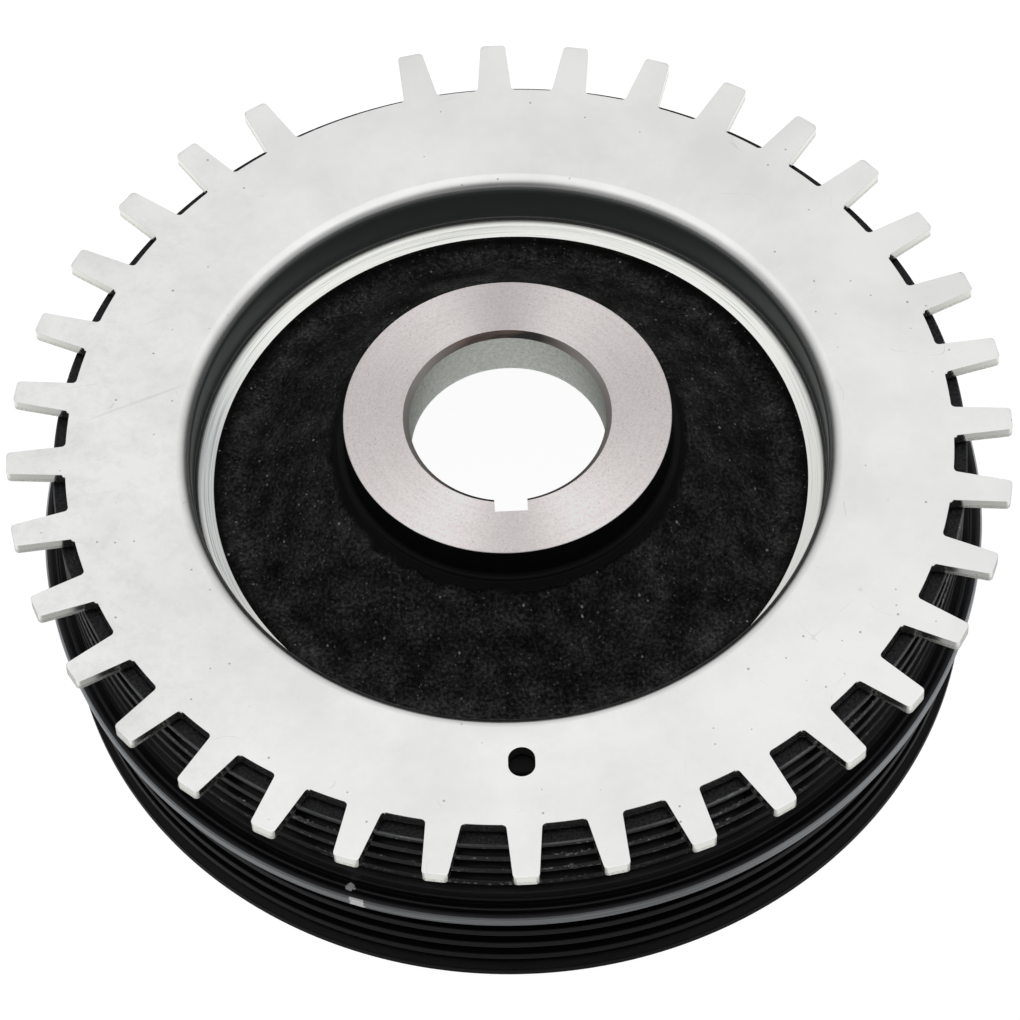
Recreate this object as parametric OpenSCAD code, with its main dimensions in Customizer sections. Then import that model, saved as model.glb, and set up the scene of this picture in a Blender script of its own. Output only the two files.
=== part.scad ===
// Crankshaft harmonic balancer. A cast iron hub carries a ring of rubber, the rubber carries a
// heavy outer ring with two grooved belt tracks, and a pressed steel trigger wheel sits in the hub.
// Millimetres. +Z runs along the crank axis towards the engine. The part stands on its front face,
// and the origin is where the crank axis meets the ground. The keyway points to -Y.

/* [Bore and boss] */
// Diameter of the bore for the crank nose
bore_d = 30; // [26:0.5:34]
// Chamfer at both ends of the bore
bore_chamfer = 0.9; // [0.4:0.1:1.4]
// Width of the keyway
key_w = 5; // [4:0.5:8]
// Depth of the keyway, outwards from the bore's wall
key_depth = 2.5; // [1.5:0.1:3.5]
// Diameter of the machined boss face
boss_d = 50; // [46:0.5:54]
// How far the boss face stands above the trigger wheel's upper face
boss_rise = 6.9; // [4:0.1:12]
// Length of the boss along the bore
boss_len = 9.8; // [8:0.1:12]
// Height of the turned boss wall, from its face down to the ledge at its foot
boss_wall_h = 6.2; // [5:0.1:7.2]
// Fillet between the boss wall and that ledge
boss_fillet = 0.8; // [0.3:0.1:0.9]
// Width of the ledge
ledge_w = 1.2; // [1:0.1:2]
// Height of the step at the ledge's edge, where the turned surface meets the cast one
ledge_step = 0.7; // [0.3:0.1:1]

/* [Web and rim of the hub] */
// Thickness of the web, measured along the crank axis
web_t = 7; // [5:0.1:8]
// Fillet at each bend of the web
web_fillet = 3; // [1:0.1:4]
// Thickness of the rim around the recess that takes the trigger wheel's cup
rim_wall = 7.1; // [6:0.1:9]
// Thickness of the rim at the foot of the dish wall on the front side
dish_wall = 8; // [6:0.1:9]
// Draft of the dish wall on the front side, in degrees
dish_draft = 2; // [1:0.1:3]
// Fillet at the foot of the dish wall
dish_fillet = 4; // [2:0.1:6]
// Rounding of the rim's edges
rim_edge_r = 0.8; // [0.3:0.1:1.5]
// Fillet in the corner of the recess that takes the trigger wheel's cup
recess_fillet = 1.5; // [0.5:0.1:2.5]
// How far the rim is set back from the outer ring's front face
rim_setback = 1.5; // [0.5:0.1:4]
// Clearance between the rim and the trigger wheel's underside
rim_gap = 0.3; // [0.1:0.1:1]

/* [Rubber] */
// Thickness of the rubber, between rim and outer ring
rubber_t = 3.5; // [2.5:0.1:4]
// How far the rubber is set back at each end
rubber_setback = 1.8; // [0.5:0.1:4]
// Height of the bulge that keeps the outer ring from creeping along the rubber
lock_bulge = 1; // [0.5:0.1:1.6]
// Length of that bulge along the axis
lock_len = 14; // [10:0.5:16]
// Rounding of the rubber's ends
rubber_end_r = 1.2; // [0.5:0.1:1.2]

/* [Outer ring] */
// Outer diameter over the belt ribs, from which the rim, the dish and the trigger wheel follow
ring_d = 140; // [132:0.5:150]
// Thickness of the ring under the belt grooves
ring_wall = 6.3; // [4.5:0.1:7]
// How far the flange between the two belt tracks stands above the ribs
flange_rise = 3; // [2:0.1:4.5]
// Thickness of the flange
flange_h = 2; // [1.2:0.1:3]
// How far the lip at the front face stands above the ribs
lip_rise = 0.6; // [0.3:0.1:1]
// Number of belt grooves on the engine side of the flange
rear_groove_count = 4; // [3:1:6]
// Number of belt grooves on the front side of the flange
front_groove_count = 5; // [3:1:7]
// Distance from one belt groove to the next
rib_pitch = 3.56; // [3.4:0.01:3.8]
// Angle between the two sides of a groove, in degrees
groove_angle = 40; // [36:1:42]
// Depth of a groove
groove_depth = 2.2; // [1.8:0.1:2.4]
// Width of a rib's crest
crest_w = 1.5; // [1.2:0.1:1.6]
// Rounding of the ribs' edges
crest_r = 0.3; // [0.1:0.05:0.4]
// Rounding at the bottom of a groove
root_r = 0.2; // [0.1:0.05:0.25]
// Plain land between the front face and the first groove
front_land = 1.8; // [1:0.1:3]
// Plain land between the flange and the groove in front of it
flange_front_land = 1.2; // [0.8:0.1:3]
// Plain land between the flange and the groove behind it
flange_rear_land = 2.96; // [2.2:0.02:5]
// Plain land between the last groove and the ring's rear face
rear_land = 1.2; // [1:0.1:3]
// Width of the turned relief at the foot of the flange
relief_w = 1.1; // [0.6:0.1:1.6]
// Depth of that relief below the flange's face
relief_depth = 0.4; // [0.2:0.1:0.8]
// Chamfer on the ring's outer edges
edge_chamfer = 0.3; // [0.1:0.05:0.5]
// Chamfer on the ring's inner edges
inner_chamfer = 0.8; // [0.4:0.1:1.2]

/* [Trigger wheel] */
// Thickness of the sheet
sheet_t = 2; // [1.2:0.1:2.2]
// Clearance between the outer ring and the wheel's underside
wheel_gap = 0.5; // [0.5:0.1:2]
// How far the disc's edge, from which the teeth rise, lies inside the ribs
disc_inset = 2; // [0:0.1:4]
// Length of a tooth, from the disc's edge to its tip
tooth_len = 9; // [7:0.1:11]
// Places for teeth around the wheel, one of which is left out
tooth_places = 36; // [30:1:40]
// The place left out, counted anticlockwise from +X
missing_place = 11; // [0:1:29]
// Width of a tooth at its tip, between the flanks
tooth_tip_w = 3.9; // [3:0.1:5]
// Width of a tooth at its foot
tooth_root_w = 5.35; // [4.5:0.05:6.5]
// Rounding of the tooth tips' corners
tip_r = 1; // [0.4:0.1:1.4]
// Fillet at the foot of each tooth
foot_r = 0.7; // [0.3:0.1:1]
// Depth of the cup, from the upper face to the cup's floor
cup_depth = 8.9; // [7:0.1:11]
// Bend radius at the cup's mouth, on the upper face
mouth_r = 2.4; // [2.4:0.1:4]
// Bend radius at the cup's floor, on the inside
floor_r = 1.6; // [1:0.1:2.2]
// Width of the cup's floor, from its wall to its hole
floor_w = 3; // [2.6:0.1:5]
// Width of the hub's seat that shows inside that hole
seat_show_w = 4.5; // [3:0.1:6]
// Distance from the cup's outer wall to the middle of the timing hole
timing_out = 6.4; // [5:0.1:9]
// Width of the timing hole
timing_w = 4; // [3:0.1:5]
// Length of the timing hole, along the radius
timing_len = 5; // [5:0.1:7]

/* [Hidden] */
$fn = 180;
eps = 0.01;
// Steps of a rounded corner, in degrees, for large radii and for small ones
wide_step = 12;
fine_step = 36;
small_radius = 0.5;

// Belt grooves. The ribs' pitch and crest give the width at which a groove opens.
groove_w = rib_pitch - crest_w;
groove_floor_w = groove_w - 2 * groove_depth * tan(groove_angle / 2);
rib_r = ring_d / 2;
flange_r = rib_r + flange_rise;
lip_r = rib_r + lip_rise;

// Heights, from the front face up
front_track_top = front_land + (front_groove_count - 1) * rib_pitch + groove_w;
flange_z = front_track_top + flange_front_land;
flange_top = flange_z + flange_h;
rear_track_z = flange_top + flange_rear_land;
ring_h = rear_track_z + (rear_groove_count - 1) * rib_pitch + groove_w + rear_land;
wheel_under = ring_h + wheel_gap;
wheel_top = wheel_under + sheet_t;
cup_floor_top = wheel_top - cup_depth;
seat_z = cup_floor_top - sheet_t;
rim_top = wheel_under - rim_gap;
boss_top = wheel_top + boss_rise;
boss_front = boss_top - boss_len;
ledge_z = boss_top - boss_wall_h;
web_top = ledge_z - ledge_step;
dish_top = seat_z - web_t;

// Radii, from the belt ribs in
ring_in_r = rib_r - groove_depth - ring_wall;
rim_r = ring_in_r - rubber_t;
dish_r = rim_r - dish_wall;
dish_front_r = dish_r + (dish_top - rim_setback) * tan(dish_draft);
cup_out_r = rim_r - rim_wall;
cup_in_r = cup_out_r - sheet_t;
mouth_in_r = mouth_r - sheet_t;
floor_hole_r = cup_in_r - floor_w;
web_out_r = floor_hole_r - seat_show_w;
timing_r = cup_out_r + timing_out;
tooth_root_r = rib_r - disc_inset;

// Radii, from the crank axis out
bore_r = bore_d / 2;
boss_r = boss_d / 2;
ledge_r = boss_r + ledge_w;
web_in_r = ledge_r + ledge_step;

// The web's underside runs below its upper side at web_t, and meets the bolt's seat at seat_r
web_fall = (web_top - seat_z) / (web_out_r - web_in_r);
seat_r = web_in_r + (web_top - web_t - boss_front) / web_fall;

// The bulge lies at the middle of the rim
lock_mid = (rim_setback + ring_h) / 2;
rubber_z0 = rim_setback + rubber_setback;
rubber_z1 = ring_h - rubber_setback;
lock_steps = 12;

// An outline is a list of corners [r, z, rounding]. rounded() turns it into plain points.
function corner_at(p, i) = p[(i + len(p)) % len(p)];
function flat(c) = [c[0], c[1]];
function toward(a, b) = (flat(b) - flat(a)) / norm(flat(b) - flat(a));
function turn(a0, a1) = (a1 - a0 + 540) % 360 - 180;
function steps_for(r, angle) = max(2, ceil(abs(angle) / (r < small_radius ? fine_step : wide_step)));
function arc(m, r, a0, sweep) =
    let (n = steps_for(r, sweep))
    [for (i = [0:n]) m + r * [cos(a0 + sweep * i / n), sin(a0 + sweep * i / n)]];
function round_corner(a, b, c) =
    let (u = toward(b, a))
    let (v = toward(b, c))
    let (half = acos(u * v) / 2)
    let (m = flat(b) + (u + v) / norm(u + v) * b[2] / sin(half))
    let (p = flat(b) + u * b[2] / tan(half) - m)
    let (q = flat(b) + v * b[2] / tan(half) - m)
    arc(m, b[2], atan2(p[1], p[0]), turn(atan2(p[1], p[0]), atan2(q[1], q[0])));
function rounded(p) = [
    for (i = [0:len(p) - 1])
        each p[i][2] > 0 ? round_corner(corner_at(p, i - 1), p[i], corner_at(p, i + 1)) : [flat(p[i])]
];

// The line along which rim, rubber and ring meet: straight, with a smooth bulge at its middle
function lock_line(r, z0, z1, edge_r) = concat(
    [[r, z0, edge_r]],
    [for (i = [0:lock_steps]) lock_point(r, i / lock_steps)],
    [[r, z1, edge_r]]
);
function lock_point(r, t) = [
    r + lock_bulge * (1 - cos(360 * t)) / 2,
    lock_mid + lock_len * (t - 0.5),
    0
];
function backwards(p) = [for (i = [len(p) - 1:-1:0]) p[i]];

// Four corners of one belt groove whose middle lies at height z, from the front side up
function groove(z) = [
    [rib_r, z - groove_w / 2, crest_r],
    [rib_r - groove_depth, z - groove_floor_w / 2, root_r],
    [rib_r - groove_depth, z + groove_floor_w / 2, root_r],
    [rib_r, z + groove_w / 2, crest_r]
];
function groove_track(z0, count) = [
    for (i = [0:count - 1]) each groove(z0 + groove_w / 2 + i * rib_pitch)
];
// The first groove's front side runs on up to the lip, which stands above the ribs
lip_edge_z = front_land - (lip_r - rib_r) * tan(groove_angle / 2);
function without_first(p) = [for (i = [1:len(p) - 1]) p[i]];

module turned(outline) {
    rotate_extrude() polygon(rounded(outline));
}

// Cast iron hub: boss, conical web, seat for the trigger wheel, and the deep rim
module hub() {
    color("#1d1d1f")
    difference() {
        turned(concat(
            [
                [bore_r, boss_front + bore_chamfer, 0],
                [bore_r + bore_chamfer, boss_front, 0],
                [seat_r, boss_front, web_fillet],
                [web_out_r, dish_top, web_fillet],
                [dish_r, dish_top, dish_fillet],
                [dish_front_r, rim_setback, rim_edge_r]
            ],
            lock_line(rim_r, rim_setback, rim_top, rim_edge_r),
            [
                [cup_out_r + mouth_in_r, rim_top, 0],
                [cup_out_r, rim_top - mouth_in_r, 0],
                [cup_out_r, seat_z, recess_fillet],
                [web_out_r, seat_z, web_fillet],
                [web_in_r, web_top, 0],
                [ledge_r, ledge_z, 0],
                [boss_r, ledge_z, boss_fillet],
                [boss_r, boss_top, 0],
                [bore_r + bore_chamfer, boss_top, 0],
                [bore_r, boss_top - bore_chamfer, 0]
            ]
        ));
        keyway();
    }
}

// Keyway on the -Y side, open at both ends of the boss
module keyway() {
    translate([-key_w / 2, -bore_r - key_depth, boss_front - eps])
    cube([key_w, bore_r + key_depth, boss_len + 2 * eps]);
}

// Rubber pressed in between the rim and the outer ring
module rubber_ring() {
    color("#262626")
    turned(concat(
        lock_line(rim_r, rubber_z0, rubber_z1, rubber_end_r),
        backwards(lock_line(ring_in_r, rubber_z0, rubber_z1, rubber_end_r))
    ));
}

// Heavy outer ring with a grooved belt track on each side of the flange
module outer_ring() {
    color("#161618")
    turned(concat(
        [
            [ring_in_r + inner_chamfer, 0, 0],
            [lip_r - edge_chamfer, 0, 0],
            [lip_r, edge_chamfer, 0],
            [lip_r, lip_edge_z, crest_r]
        ],
        without_first(groove_track(front_land, front_groove_count)),
        [
            [rib_r, flange_z, 0],
            [flange_r - edge_chamfer, flange_z, 0],
            [flange_r, flange_z + edge_chamfer, 0],
            [flange_r, flange_top - edge_chamfer, 0],
            [flange_r - edge_chamfer, flange_top, 0],
            [rib_r + relief_w, flange_top, 0],
            [rib_r + relief_w, flange_top - relief_depth, 0],
            [rib_r, flange_top - relief_depth, 0]
        ],
        groove_track(rear_track_z, rear_groove_count),
        [
            [rib_r, ring_h - edge_chamfer, 0],
            [rib_r - edge_chamfer, ring_h, 0],
            [ring_in_r + inner_chamfer, ring_h, 0]
        ],
        backwards(lock_line(ring_in_r, inner_chamfer, ring_h - inner_chamfer, 0))
    ));
}

// Outline of one tooth, which points along +X. slant is the angle of its flanks. The fillets at
// its foot touch the flanks and dip foot_dip into the disc, so that they meet its edge cleanly.
slant = atan((tooth_root_w - tooth_tip_w) / 2 / tooth_len);
tip_x = tooth_root_r + tooth_len;
function flank_y(x) = tooth_tip_w / 2 + (tip_x - x) * tan(slant);
tip_mid = [tip_x - tip_r, flank_y(tip_x - tip_r) - tip_r / cos(slant)];
foot_dip = 0.03;
foot_reach = tooth_root_r + foot_r - foot_dip;
foot_line = flank_y(0) + foot_r / cos(slant);
foot_x = foot_line * sin(slant) * cos(slant)
    + sqrt(pow(foot_reach * cos(slant), 2) - pow(foot_line * cos(slant) * cos(slant), 2));
foot_mid = [foot_x, foot_line - foot_x * tan(slant)];

module tooth() {
    flank_side = [sin(slant), cos(slant)];
    half = [
        foot_mid - [3 * foot_r, 0],
        foot_mid,
        foot_mid - foot_r * flank_side,
        tip_mid + tip_r * flank_side,
        tip_mid,
        [tip_x, tip_mid[1]]
    ];
    linear_extrude(sheet_t)
    difference() {
        union() {
            polygon(concat(half, [for (i = [len(half) - 1:-1:0]) [half[i][0], -half[i][1]]]));
            for (side = [-1, 1]) translate([tip_mid[0], side * tip_mid[1]]) circle(r = tip_r);
        }
        for (side = [-1, 1]) translate([foot_mid[0], side * foot_mid[1]]) circle(r = foot_r);
    }
}

// Pressed steel trigger wheel: a flat disc with teeth, and a cup drawn in its middle
module trigger_wheel() {
    color("#dcdedb")
    difference() {
        union() {
            turned([
                [floor_hole_r, seat_z, 0],
                [cup_out_r, seat_z, floor_r + sheet_t],
                [cup_out_r, wheel_under, mouth_in_r],
                [tooth_root_r, wheel_under, 0],
                [tooth_root_r, wheel_top, 0],
                [cup_in_r, wheel_top, mouth_r],
                [cup_in_r, cup_floor_top, floor_r],
                [floor_hole_r, cup_floor_top, 0]
            ]);
            for (i = [0:tooth_places - 1])
                if (i != missing_place)
                    rotate(360 / tooth_places * i) translate([0, 0, wheel_under]) tooth();
        }
        timing_hole();
    }
}

// Oblong hole in line with the keyway
module timing_hole() {
    reach = (timing_len - timing_w) / 2;
    translate([0, -timing_r, wheel_under - eps]) {
        for (side = [-1, 1])
            translate([0, side * reach, 0]) cylinder(d = timing_w, h = sheet_t + 2 * eps);
        translate([-timing_w / 2, -reach, 0]) cube([timing_w, 2 * reach + eps, sheet_t + 2 * eps]);
    }
}

hub();
rubber_ring();
outer_ring();
trigger_wheel();
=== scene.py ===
# %% [markdown]
# # A harmonic balancer
# An engine's crankshaft twists a little with every firing stroke. The harmonic balancer on its
# front end damps that twist: a cast hub carries a band of rubber, and the rubber carries a heavy
# ring, which is also the belt pulley. A pressed steel wheel with 35 teeth tells the engine's
# computer how the crank stands. It lies here on its front face, so that the side towards the
# engine shows.
#
# The solids come from the CAD model. This script gives each of the four pieces a smooth skin of
# the same shape, and the finish that its surface has on the real part.

import math

import bmesh
import bpy
from mathutils import Matrix, Vector


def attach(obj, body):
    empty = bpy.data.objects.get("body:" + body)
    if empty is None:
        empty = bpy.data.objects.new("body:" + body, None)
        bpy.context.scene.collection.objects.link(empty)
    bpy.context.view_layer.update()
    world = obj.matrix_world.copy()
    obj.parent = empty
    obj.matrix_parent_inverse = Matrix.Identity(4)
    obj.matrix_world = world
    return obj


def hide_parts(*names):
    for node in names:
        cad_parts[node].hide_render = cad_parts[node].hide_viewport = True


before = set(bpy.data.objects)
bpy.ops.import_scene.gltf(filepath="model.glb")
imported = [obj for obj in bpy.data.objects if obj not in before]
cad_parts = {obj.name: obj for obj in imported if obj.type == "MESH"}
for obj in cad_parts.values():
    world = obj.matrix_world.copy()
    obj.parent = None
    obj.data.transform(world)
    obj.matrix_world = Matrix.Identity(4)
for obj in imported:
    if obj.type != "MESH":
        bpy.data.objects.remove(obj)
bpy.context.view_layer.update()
print("nodes:", sorted(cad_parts))

# %% [markdown]
# ## One way to add a node
# Materials, the world and Geometry Nodes are all trees of nodes. `add` makes one node and fills
# it. Values without a name go to its sockets in their order, names in small letters are its
# options, and names with a capital are its sockets. A value may be a number, a socket or another
# node, which then gives its first output. A hex colour is turned to linear. An index switch gets
# as many places as there are values.

# %% Helpers for colours, nodes and objects
MM = 0.001
# For a Map Range node that starts and ends softly
SMOOTH = {"interpolation_type": "SMOOTHSTEP"}


def linear(hex_colour):
    """An sRGB hex colour as the linear RGBA that Blender's sockets take."""
    parts = [int(hex_colour[i : i + 2], 16) / 255 for i in (1, 3, 5)]
    return [p / 12.92 if p <= 0.04045 else ((p + 0.055) / 1.055) ** 2.4 for p in parts] + [1.0]


def add(tree, kind, *inputs, **named):
    """A node with its options, its values and its links."""
    families = (tree.bl_idname.replace("Tree", ""), "ShaderNode", "NodeGroup")
    node = tree.nodes.new(next(f + kind for f in families if hasattr(bpy.types, f + kind)))
    for name, value in named.items():
        if name[0].islower():
            setattr(node, name, value)
    if kind == "IndexSwitch":
        for _ in inputs[3:]:
            node.index_switch_items.new()
    shown = [socket for socket in node.inputs if socket.enabled]
    pairs = list(zip(shown, inputs))
    for name, value in named.items():
        if not name[0].islower():
            pairs.append((next(s for s in shown if s.name == name.replace("_", " ")), value))
    for socket, value in pairs:
        if isinstance(value, str) and value[0] == "#":
            value = linear(value)
        elif isinstance(value, bpy.types.Node):
            value = next(s for s in value.outputs if s.enabled)
        if isinstance(value, bpy.types.NodeSocket):
            tree.links.new(value, socket)
        else:
            socket.default_value = value
    return node


def new_object(name, data):
    """An object with these data, at the origin of the scene."""
    thing = bpy.data.objects.new(name, data)
    bpy.context.scene.collection.objects.link(thing)
    return thing


# %% [markdown]
# ## The camera
# The photograph was taken with a long lens from about 56 degrees above the horizon, a little
# turned about its line of sight. The distance follows from how fast the far teeth shrink against
# the near ones.

# %% Camera
LENS_PX = 5533.4
FRAME_PX = 1020
eye = Vector((5.20, -478.44, 738.88)) * MM
rise, turn, twist = map(math.radians, (56.293, 0.668, -3.115))
ahead = Vector((-math.sin(turn) * math.cos(rise), math.cos(turn) * math.cos(rise), -math.sin(rise)))
level = Vector((math.cos(turn), math.sin(turn), 0))
upward = level.cross(ahead)
right = math.cos(twist) * level + math.sin(twist) * upward
above = -math.sin(twist) * level + math.cos(twist) * upward

lens = bpy.data.cameras.new("camera")
lens.sensor_width = 36
lens.lens = LENS_PX / FRAME_PX * lens.sensor_width
lens.clip_start = 0.05
camera = new_object("camera", lens)
camera.matrix_world = Matrix.Translation(eye) @ Matrix((right, above, -ahead)).transposed().to_4x4()
bpy.context.scene.camera = camera
bpy.context.scene.view_settings.view_transform = "Standard"
print("lens in mm:", round(lens.lens, 1), "distance in mm:", round(eye.length * 1000))

# %% [markdown]
# ## The studio
# Bare metal shows what is around it. The wheel's plate mirrors the light above and beyond the
# part, so that side is bright. The camera's side is dim: it keeps the painted walls black and the
# cup's wall dark, which painted shade in the wall's colour deepens. The floor in front of the
# part lies in the part's own soft shade, which its rim mirrors, and which the floor's glow paints
# in for reflections. Two soft lamps stand left and right of the camera. The rings on the boss face
# spread them into brighter sectors on both sides of a darker one, and a painted reflection in the
# face's colour adds to them. Low behind the camera is a grey wall, which keeps the plate from
# looking black when it is seen from the other side. For the camera itself, floor and backdrop are
# white.

# %% World
DIM, BRIGHT, OVERHEAD, SIDE_LAMPS, ROOM_WALL, BACKDROP = 0.08, 0.84, 0.25, 0.16, 0.24, 1.0
LIGHT_SIDE = (0.0, 0.34, 0.94)


def seen_by_lens(tree):
    """1 for rays that the camera sends itself or through glass, 0 for light on the part."""
    ray = add(tree, "LightPath").outputs
    return add(tree, "Math", ray["Is Camera Ray"], ray["Is Transmission Ray"], operation="MAXIMUM")


world = bpy.data.worlds.new("studio")
bpy.context.scene.world = world
world.use_nodes = True
tree = world.node_tree
tree.nodes.clear()
direction = add(tree, "TexCoord").outputs["Generated"]
right_of, beyond, up = add(tree, "SeparateXYZ", direction).outputs
facing = add(tree, "VectorMath", direction, LIGHT_SIDE, operation="DOT_PRODUCT")
dome = add(tree, "MapRange", facing, 0.15, 1.0, DIM, BRIGHT, **SMOOTH)
overhead = add(tree, "MapRange", up, 0.77, 0.88, 1.0, 1.0 + OVERHEAD, **SMOOTH)
dome = add(tree, "Math", dome, overhead, operation="MULTIPLY")
lamps = add(tree, "Math", right_of, operation="ABSOLUTE")
lamps = add(tree, "MapRange", lamps, 0.12, 0.36, 0.0, SIDE_LAMPS, **SMOOTH)
high = add(tree, "MapRange", up, 0.30, 0.60, **SMOOTH)
room_wall = add(tree, "MapRange", up, 0.60, 0.40, 0.0, ROOM_WALL, **SMOOTH)
near_light = add(tree, "Math", lamps, high, room_wall, operation="MULTIPLY_ADD")
camera_side = add(tree, "MapRange", beyond, 0.2, -0.1, **SMOOTH)
dome = add(tree, "Math", near_light, camera_side, dome, operation="MULTIPLY_ADD")
strength = add(tree, "Mix", seen_by_lens(tree), dome, BACKDROP)
add(tree, "OutputWorld", add(tree, "Background", "#FFFFFF", strength))

# %% [markdown]
# The floor is matt white paper. For the camera it glows just enough to come out white, and keeps a
# faint share of the part's shadow. For reflections its glow is painted shadow and light: low out
# to about 20 mm in front of the teeth, a painted shadow of the part, bright beyond that, and
# bright again under the bore, a painted light.

# %% Floor
FLOOR_SIDE, FLOOR_GLOW = 8.0, 0.96
half = FLOOR_SIDE / 2
corners = [(-half, -half, 0), (half, -half, 0), (half, half, 0), (-half, half, 0)]
mesh = bpy.data.meshes.new("floor")
mesh.from_pydata(corners, [], [(0, 1, 2, 3)])
floor = new_object("floor", mesh)

paper = bpy.data.materials.new("white_paper_floor")
paper.use_nodes = True
tree = paper.node_tree
tree.nodes.clear()
seen = seen_by_lens(tree)
colour = add(tree, "Mix", seen, "#F2F2F2", "#6A6A6A", data_type="RGBA")
matt = add(tree, "BsdfDiffuse", Color=colour)
mirrored = add(tree, "LightPath").outputs["Is Glossy Ray"]
point = add(tree, "TexCoord").outputs["Object"]
reach = add(tree, "VectorMath", point, operation="LENGTH")
# Painted shadow and light for reflections: low glow near the part, higher beyond, bright under the
# bore
shade = add(tree, "MapRange", reach, 0.086, 0.104, 0.04, 0.42, **SMOOTH)
painted_light_under_bore = add(tree, "MapRange", reach, 0.030, 0.018, 0.0, 1.2, **SMOOTH)
shade = add(tree, "Math", shade, painted_light_under_bore, operation="ADD")
glow = add(tree, "Math", seen, FLOOR_GLOW, operation="MULTIPLY")
glow = add(tree, "Math", mirrored, shade, glow, operation="MULTIPLY_ADD")
lit = add(tree, "Emission", Strength=glow)
add(tree, "OutputMaterial", add(tree, "AddShader", matt, lit))
floor.data.materials.append(paper)

# %% [markdown]
# ## Sizes
# The same sizes as in the CAD model, in millimetres. Heights count from the front face, on which
# the part stands, and radii from the crank axis.

# %% Sizes in mm
# Heights
RING_TOP, RIM_FRONT, RIM_TOP, DISH_TOP = 38.2, 1.5, 38.4, 22.8
SHEET_UNDER, SHEET_TOP, SEAT_Z, CUP_FLOOR = 38.7, 40.7, 29.8, 31.8
BOSS_FRONT, WEB_TOP, LEDGE_Z, BOSS_TOP = 37.8, 40.7, 41.4, 47.6
FLANGE_Z, FLANGE_TOP = 19.3, 21.3
# Radii
BORE_R, BOSS_R, LEDGE_R, WEB_IN_R, WEB_OUT_R = 15.0, 25.0, 26.2, 26.9, 41.4
CUP_HOLE_R, CUP_IN_R, CUP_OUT_R, MOUTH_R = 45.9, 48.9, 50.9, 51.3
DISH_IN_R, DISH_R, DISH_FRONT_R, RIM_R, RING_IN_R = 21.446, 50.0, 50.74, 58.0, 61.5
RIB_R, STEP_R, FLANGE_R, LIP_R, DISC_R, TIP_R = 70.0, 71.1, 73.0, 70.6, 68.0, 77.0
# Steps of every turned piece around the axis
AROUND = 288

# %% [markdown]
# ## Outlines and the lathe
# Hub, rubber and ring are turned or cast round, so each is one outline spun about the crank axis.
# An outline is a loop of corners: radius, height, and how far the corner is rounded. A Geometry
# Nodes tree rounds the corners with Fillet Curve and sweeps the loop along a circle with Curve to
# Mesh. The Screw modifier would spin it as well, but not round its corners.


# %% An outline, and a tree put to work
def outline(name, *runs):
    """Runs of corners [radius, height, rounding] in mm. One run alone closes on itself."""
    corners = [corner for run in runs for corner in run]
    edges, first = [], 0
    for run in runs:
        edges += [(first + i, first + i + 1) for i in range(len(run) - 1)]
        first += len(run)
    if len(runs) == 1:
        edges.append((len(corners) - 1, 0))
    shape = bpy.data.meshes.new(name)
    shape.from_pydata([(r * MM, z * MM, 0) for r, z, _ in corners], edges, [])
    rounding = shape.attributes.new("rounding", "FLOAT", "POINT")
    rounding.data.foreach_set("value", [w * MM for _, _, w in corners])
    return new_object(name, shape)


def new_tree(name, **sizes):
    """A Geometry Nodes tree with named inputs, and those inputs as sockets inside it."""
    tree = bpy.data.node_groups.new(name, "GeometryNodeTree")
    face = tree.interface
    face.new_socket("Geometry", in_out="OUTPUT", socket_type="NodeSocketGeometry")
    face.new_socket("Geometry", in_out="INPUT", socket_type="NodeSocketGeometry")
    for label, value in sizes.items():
        kind = "NodeSocketInt" if isinstance(value, int) else "NodeSocketFloat"
        size = face.new_socket(label.replace("_", " "), in_out="INPUT", socket_type=kind)
        size.default_value = value
    face.new_socket("Material", in_out="INPUT", socket_type="NodeSocketMaterial")
    return tree, tree.nodes.new("NodeGroupInput").outputs


def run(piece, tree, **values):
    """Puts a tree on a piece as a modifier. Its inputs are set by their identifiers."""
    modifier = piece.modifiers.new(tree.name, "NODES")
    modifier.node_group = tree
    for socket in tree.interface.items_tree:
        key = socket.name.replace(" ", "_")
        if socket.in_out == "INPUT" and key in values:
            modifier[socket.identifier] = values[key]


# %% The lathe
SPINDLE = 50 * MM
lathe, given = new_tree("lathe", Steps_Around=AROUND, Rounding_Steps=4, Smallest_Gap=0.002 * MM)
line = add(lathe, "MeshToCurve", given["Geometry"])
rounding = add(lathe, "InputNamedAttribute", "rounding", data_type="FLOAT")
fillet = {"mode": "POLY", "Limit_Radius": True, "Radius": rounding}
line = add(lathe, "FilletCurve", line, Count=given["Rounding Steps"], **fillet)
# Curve to Mesh turns a profile's Y to -Z, so heights change their sign here
place = add(lathe, "InputPosition")
place = add(lathe, "VectorMath", place, (1, -1, 1), (-SPINDLE, 0, 0), operation="MULTIPLY_ADD")
line = add(lathe, "SetPosition", line, Position=place)
rail = add(lathe, "CurvePrimitiveCircle", Resolution=given["Steps Around"], Radius=SPINDLE)
spun = add(lathe, "CurveToMesh", rail, line)
spun = add(lathe, "MergeByDistance", spun, Distance=given["Smallest Gap"])
spun = add(lathe, "RealizeInstances", spun)
spun = add(lathe, "SetMaterial", spun, Material=given["Material"])
add(lathe, "Output", spun)
print("lathe nodes:", len(lathe.nodes))

# %% [markdown]
# ## From a tree to a plain mesh
# The export needs plain meshes, so each finished piece is evaluated once and copied, and its
# source goes. A closed mesh whose volume comes out negative is inside out, so its faces are
# turned. Weighted normals keep a wide flat face flat beside its small rounded edge.


# %% Finish a piece
def plain(source, name):
    """A plain copy of the evaluated source, which takes the source's place."""
    bpy.context.view_layer.update()
    graph = bpy.context.evaluated_depsgraph_get()
    shape = bpy.data.meshes.new_from_object(source.evaluated_get(graph), depsgraph=graph)
    shape.name = name
    old = source.data
    bpy.data.objects.remove(source)
    bpy.data.meshes.remove(old)
    return new_object(name, shape)


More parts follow.
